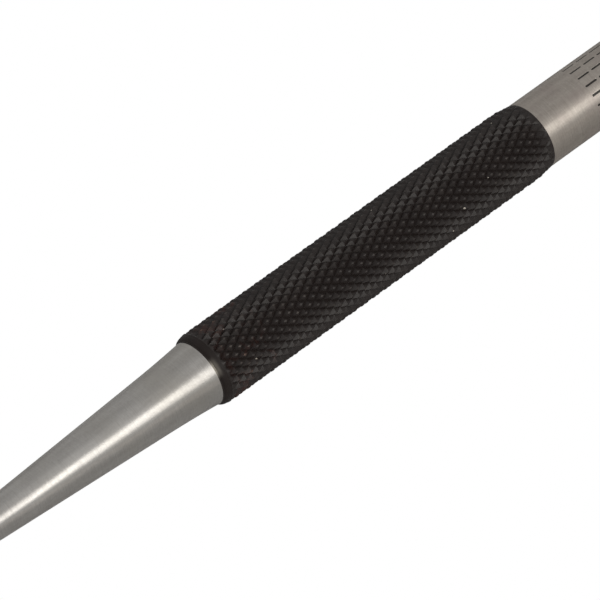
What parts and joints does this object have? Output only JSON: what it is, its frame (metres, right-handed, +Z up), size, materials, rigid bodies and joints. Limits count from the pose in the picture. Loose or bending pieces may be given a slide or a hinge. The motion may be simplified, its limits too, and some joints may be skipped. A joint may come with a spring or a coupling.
{
  "type": "center punch",
  "caption": "Slim hand center punch: ground taper to a 90 degree point, knurled black grip, bare round shank and bevelled striking head.",
  "frame": {"origin": "bottom centre of the bounding box: the surface the grip rests on, below the middle of the punch's length", "axes": "+X along the bar from the point to the struck head, +Y across it, +Z up; the point is at -X"},
  "size_m": [0.127, 0.0096, 0.0096],
  "materials": {
    "ground_tip": "satin",
    "ground_nose": "satin",
    "black_shoulder": "satin",
    "black_knurl": "satin",
    "black_runout": "satin",
    "satin_shank": "satin",
    "struck_head": "satin"
  },
  "bodies": {
    "root": {"point_tip": "ground_tip", "tapered_nose": "ground_nose", "grip_shoulder": "black_shoulder", "knurled_grip": "black_knurl", "grip_runout": "black_runout", "bare_shank": "satin_shank", "striking_head": "struck_head"}
  },
  "joints": []
}
